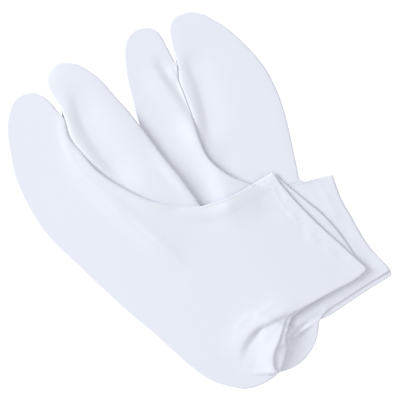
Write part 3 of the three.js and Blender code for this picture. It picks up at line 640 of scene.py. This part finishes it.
def make_stitches(name, cover, layer):
    middles, along = stitch_line(name)
    share = np.linspace(0, 1, TUBE_STEPS + 1)
    reach = (share - 0.5) * STITCH["length"]
    spots = (middles[:, None] + along[:, None] * reach[None, :, None]).reshape(-1, 2)
    heights = upper_heights(name, cover, layer, spots).reshape(len(middles), -1)
    arch = (STITCH["radius"] + STITCH["rise"]) * np.sin(np.pi * share) - STITCH["radius"]
    turns = np.arange(TUBE_SIDES) * 2 * np.pi / TUBE_SIDES
    points, faces = [], []
    for number, direction in enumerate(along):
        across = np.array([direction[1], -direction[0]]) * STITCH["radius"] / np.hypot(*direction)
        first = len(points)
        for step in range(TUBE_STEPS + 1):
            x, y = spots[number * (TUBE_STEPS + 1) + step]
            z = heights[number, step] + arch[step]
            points += [(x + across[0] * np.cos(turn), y + across[1] * np.cos(turn),
                        z + STITCH["radius"] * np.sin(turn)) for turn in turns]
        for step in range(TUBE_STEPS):
            ring = first + step * TUBE_SIDES
            above = ring + TUBE_SIDES
            for side in range(TUBE_SIDES):
                beside = (side + 1) % TUBE_SIDES
                faces.append((ring + side, ring + beside, above + beside, above + side))
        last = first + TUBE_STEPS * TUBE_SIDES
        faces += [tuple(first + side for side in reversed(range(TUBE_SIDES))),
                  tuple(last + side for side in range(TUBE_SIDES))]
    points = np.array(points)
    stitches = cloth_object(name + "_hem_stitches", points[:, :2], points[:, 2], faces)
    print(f"{name}: {len(middles)} hem stitches")
    return stitches


hem_stitches = {
    right_outer_cloth: make_stitches("right_outer", right_cover, "lower"),
    right_inner_cloth: make_stitches("right_inner", right_cover, "upper"),
    left_inner_cloth: make_stitches("left_inner", left_cover, "lower"),
    left_outer_cloth: make_stitches("left_outer", left_cover, "upper"),
}

# %% [markdown]
# ## The soles
#
# The soles show only from below and as a thin edge from the side. Each is flat where it rests on the table.

# %% Building the two soles
SOLE_ROUND = 0.5      # the sole's edge is rounded over this distance
SOLE_EDGE_DROP = 0.25
SOLE_FIELD_STEP = 1.6
SOLE_TRIM = 0.02      # its wall is this much thinner than its place in the stack


def make_sole(name, floor):
    points, faces = flat_piece(outline[name], field_step=SOLE_FIELD_STEP)
    from_edge = near(np.vstack([outline[name], outline[name][:1]]), points)[0]
    height = floor(points) + SOLE_CLOTH - SOLE_EDGE_DROP * (1 - round_rise(from_edge / SOLE_ROUND))
    piece = cloth_object(name + "_cloth", points, height, faces)
    give_wall(piece, SOLE_CLOTH - SOLE_TRIM)
    print(f"{name}: {len(points)} points, {len(faces)} triangles")
    return piece


right_sole_cloth = make_sole("right_sole", right_cover.floor)
left_sole_cloth = make_sole("left_sole", left_floor)

# %% [markdown]
# ## Effects that the materials share
#
# The knit is so fine that it is felt more than seen: ribs half a millimetre or more apart, each a chain of
# small loops. It is a node group, so the uppers and the soles can use it at their own scale and angle. A
# second group gives the faint unevenness that even new cloth has.

# %% Node helpers
def new_group(name, inputs, outputs):
    group = bpy.data.node_groups.new(name, "ShaderNodeTree")
    for label, kind, value in inputs:
        group.interface.new_socket(label, in_out="INPUT", socket_type=kind).default_value = value
    for label, kind in outputs:
        group.interface.new_socket(label, in_out="OUTPUT", socket_type=kind)
    return group, group.nodes.new("NodeGroupInput"), group.nodes.new("NodeGroupOutput")


def calculate(tree, operation, *values):
    """A Math node whose inputs are sockets or numbers. Its result is the socket that comes back."""
    node = tree.nodes.new("ShaderNodeMath")
    node.operation = operation
    for socket, value in zip(node.inputs, values):
        if isinstance(value, bpy.types.NodeSocket):
            tree.links.new(value, socket)
        else:
            socket.default_value = value
    return node.outputs[0]


FLOAT, COLOUR = "NodeSocketFloat", "NodeSocketColor"

# %% The knit's ribs and loops
LOOP_DEPTH = 0.4  # share of a rib's height that its loops take
fine_knit, knit_in, knit_out = new_group(
    "Fine knit",
    [("Rib spacing", FLOAT, 0.0005), ("Loop spacing", FLOAT, 0.0004), ("Angle", FLOAT, 0.0)],
    [("Height", FLOAT)],
)
where = fine_knit.nodes.new("ShaderNodeTexCoord")
turn = fine_knit.nodes.new("ShaderNodeVectorRotate")
turn.rotation_type = "Z_AXIS"
split = fine_knit.nodes.new("ShaderNodeSeparateXYZ")
fine_knit.links.new(where.outputs["Object"], turn.inputs["Vector"])
fine_knit.links.new(knit_in.outputs["Angle"], turn.inputs["Angle"])
fine_knit.links.new(turn.outputs["Vector"], split.inputs["Vector"])
across_rib = calculate(fine_knit, "DIVIDE", split.outputs["X"], knit_in.outputs["Rib spacing"])
along_rib = calculate(fine_knit, "DIVIDE", split.outputs["Y"], knit_in.outputs["Loop spacing"])
rib_wave = calculate(fine_knit, "SINE", calculate(fine_knit, "MULTIPLY", across_rib, np.pi))
rib = calculate(fine_knit, "ABSOLUTE", rib_wave)
slant = calculate(fine_knit, "PINGPONG", across_rib, 0.5)
loop_phase = calculate(fine_knit, "MULTIPLY", calculate(fine_knit, "ADD", along_rib, slant), 2 * np.pi)
loop = calculate(fine_knit, "MULTIPLY_ADD", calculate(fine_knit, "SINE", loop_phase), 0.5, 0.5)
loop_relief = calculate(fine_knit, "MULTIPLY_ADD", loop, LOOP_DEPTH, 1 - LOOP_DEPTH)
knit_height = calculate(fine_knit, "MULTIPLY", rib, loop_relief)
fine_knit.links.new(knit_height, knit_out.inputs["Height"])
print("node group:", fine_knit.name)

# %% Faint unevenness of the cloth
ROUGHNESS = (0.72, 0.12)  # lowest, and how much more at most
uneven, uneven_in, uneven_out = new_group(
    "Uneven cloth",
    [("Colour", COLOUR, (0.8, 0.8, 0.8, 1)), ("Shade", COLOUR, (0.7, 0.7, 0.75, 1)), ("Amount", FLOAT, 0.1),
     ("Scale", FLOAT, 18.0)],
    [("Colour", COLOUR), ("Roughness", FLOAT)],
)
where = uneven.nodes.new("ShaderNodeTexCoord")
clouds = uneven.nodes.new("ShaderNodeTexNoise")
clouds.inputs["Detail"].default_value = 3
blend = uneven.nodes.new("ShaderNodeMix")
blend.data_type = "RGBA"
uneven.links.new(where.outputs["Object"], clouds.inputs["Vector"])
uneven.links.new(uneven_in.outputs["Scale"], clouds.inputs["Scale"])
share = calculate(uneven, "MULTIPLY", clouds.outputs["Fac"], uneven_in.outputs["Amount"])
uneven.links.new(share, blend.inputs["Factor"])
uneven.links.new(uneven_in.outputs["Colour"], blend.inputs["A"])
uneven.links.new(uneven_in.outputs["Shade"], blend.inputs["B"])
uneven.links.new(blend.outputs["Result"], uneven_out.inputs["Colour"])
roughness = calculate(uneven, "MULTIPLY_ADD", clouds.outputs["Fac"], ROUGHNESS[1], ROUGHNESS[0])
uneven.links.new(roughness, uneven_out.inputs["Roughness"])
print("node group:", uneven.name)

# %% [markdown]
# ## The two cloths
#
# Both are the same bluish white yarn. The sole is knitted a little firmer, so its ribs are wider and it is
# a shade greyer. A weak sheen stands for the fine loose fibres that catch the light at the edges of a fold.

# %% Upper cloth and sole cloth
LOOP_SHARE = 0.8  # of the ribs' spacing, from one loop to the next


def make_cloth(name, colour, shade, rib_spacing, angle, knit_depth):
    material = bpy.data.materials.new(name)
    material.use_nodes = True
    tree = material.node_tree
    shader = tree.nodes["Principled BSDF"]
    shader.inputs["Sheen Weight"].default_value = 0.12
    shader.inputs["Sheen Roughness"].default_value = 0.5
    shader.inputs["Specular IOR Level"].default_value = 0.25
    knit = tree.nodes.new("ShaderNodeGroup")
    knit.node_tree = fine_knit
    knit.inputs["Rib spacing"].default_value = rib_spacing
    knit.inputs["Loop spacing"].default_value = LOOP_SHARE * rib_spacing
    knit.inputs["Angle"].default_value = angle
    soft = tree.nodes.new("ShaderNodeGroup")
    soft.node_tree = uneven
    soft.inputs["Colour"].default_value = (*colour, 1)
    soft.inputs["Shade"].default_value = (*shade, 1)
    bump = tree.nodes.new("ShaderNodeBump")
    bump.inputs["Distance"].default_value = knit_depth
    bump.inputs["Strength"].default_value = 0.35
    tree.links.new(soft.outputs["Colour"], shader.inputs["Base Color"])
    tree.links.new(soft.outputs["Roughness"], shader.inputs["Roughness"])
    tree.links.new(knit.outputs["Height"], bump.inputs["Height"])
    tree.links.new(bump.outputs["Normal"], shader.inputs["Normal"])
    return material


upper_cloth = make_cloth("bluish white knit", colour=(0.78, 0.81, 0.88), shade=(0.74, 0.76, 0.83),
                         rib_spacing=0.00055, angle=0.9, knit_depth=0.00004)
sole_cloth = make_cloth("firm sole knit", colour=(0.75, 0.77, 0.83), shade=(0.70, 0.72, 0.78),
                        rib_spacing=0.0008, angle=0.75, knit_depth=0.00005)
for piece in (right_outer_cloth, right_inner_cloth, left_inner_cloth, left_outer_cloth):
    piece.data.materials.append(upper_cloth)
for piece in (right_sole_cloth, left_sole_cloth):
    piece.data.materials.append(sole_cloth)
for stitches in hem_stitches.values():
    stitches.data.materials.append(upper_cloth)
print("materials:", upper_cloth.name, "and", sole_cloth.name)

# %% [markdown]
# ## What each piece stands for
#
# Every piece rides on the one body of the model and stands for its solid.

# %% Bodies, nodes, slots and cuts
for piece, nodes, slot, cut, area, rests_on in (
    (right_sole_cloth, ["right_sole"], "sole_cloth", (0.095, 0.245), 0.0181, []),
    (right_outer_cloth, ["right_outer_upper"], "upper_cloth", (0.100, 0.250), 0.0100, [right_sole_cloth]),
    (right_inner_cloth, ["right_inner_upper"], "upper_cloth", (0.150, 0.250), 0.0157, [right_sole_cloth]),
    (left_sole_cloth, ["left_sole"], "sole_cloth", (0.095, 0.245), 0.0174, [right_inner_cloth]),
    (left_inner_cloth, ["left_inner_upper", "left_inner_upper_heel"], "upper_cloth", (0.100, 0.250), 0.0104,
     [left_sole_cloth, right_inner_cloth]),
    (left_outer_cloth, ["left_outer_upper"], "upper_cloth", (0.150, 0.250), 0.0185, [left_sole_cloth]),
):
    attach(piece, "root")
    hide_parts(*nodes)
    sewn_on = [hem_stitches[piece]] if piece in hem_stitches else []
    for stitches in sewn_on:
        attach(stitches, "root")

# %% [markdown]
# ## Floor, light and camera
#
# The pair lies on a white light table, which hides hard shadows, under one large soft light from the left
# and even light from all round. The camera looks straight down through a long lens.

# %% The light table
FLOOR_HALF = 2.0
FLOOR_HEIGHT = -0.00005  # a hair below the cloth
CORNERS = ((-1, -1), (1, -1), (1, 1), (-1, 1))
floor_corners = [(x * FLOOR_HALF, y * FLOOR_HALF, FLOOR_HEIGHT) for x, y in CORNERS]
floor_mesh = bpy.data.meshes.new("light table")
floor_mesh.from_pydata(floor_corners, [], [(0, 1, 2, 3)])
light_table = bpy.data.objects.new("light_table", floor_mesh)
bpy.context.scene.collection.objects.link(light_table)
table_white = bpy.data.materials.new("light table white")
table_white.use_nodes = True
shader = table_white.node_tree.nodes["Principled BSDF"]
shader.inputs["Base Color"].default_value = (0.9, 0.9, 0.9, 1)
shader.inputs["Roughness"].default_value = 0.9
shader.inputs["Specular IOR Level"].default_value = 0.0
shader.inputs["Emission Color"].default_value = (1, 1, 1, 1)
shader.inputs["Emission Strength"].default_value = 0.65
floor_mesh.materials.append(table_white)

# %% Soft lights
scene = bpy.context.scene
scene.view_settings.view_transform = "Standard"
world = bpy.data.worlds.new("even light")
scene.world = world
world.use_nodes = True
background = world.node_tree.nodes["Background"]
background.inputs["Color"].default_value = (0.985, 0.978, 0.985, 1)
background.inputs["Strength"].default_value = 0.745


def soft_light(name, place, size, power, colour):
    light = bpy.data.lights.new(name, "AREA")
    light.shape = "DISK"
    light.size = size
    light.energy = power
    light.color = colour
    lamp = bpy.data.objects.new(name, light)
    lamp.location = place
    toward = -np.array(place)
    tilt = np.arctan2(np.hypot(toward[0], toward[1]), -toward[2])
    lamp.rotation_euler = (tilt, 0, np.arctan2(toward[1], toward[0]) - np.pi / 2)
    scene.collection.objects.link(lamp)
    return lamp


key = soft_light("key light", place=(-9.1, 2.6, 4.4), size=4.8, power=790, colour=(0.97, 0.985, 1))
print("key light", round(float(np.linalg.norm(key.location)), 2), "m away")

# %% The camera
PICTURE_WIDTH = 0.252
PICTURE_MIDDLE = 0.00063
PICTURE_HEIGHT = 0.003  # the plane over the table that fills the picture's width
SENSOR = 36.0
LENS = 200.0
camera_data = bpy.data.cameras.new("camera")
camera_data.sensor_width = SENSOR
camera_data.sensor_fit = "HORIZONTAL"
camera_data.lens = LENS
camera_data.clip_end = 10
camera = bpy.data.objects.new("camera", camera_data)
camera.location = (PICTURE_MIDDLE, 0, PICTURE_WIDTH * LENS / SENSOR + PICTURE_HEIGHT)
scene.collection.objects.link(camera)
scene.camera = camera
print("camera", round(camera.location.z, 3), "m up")
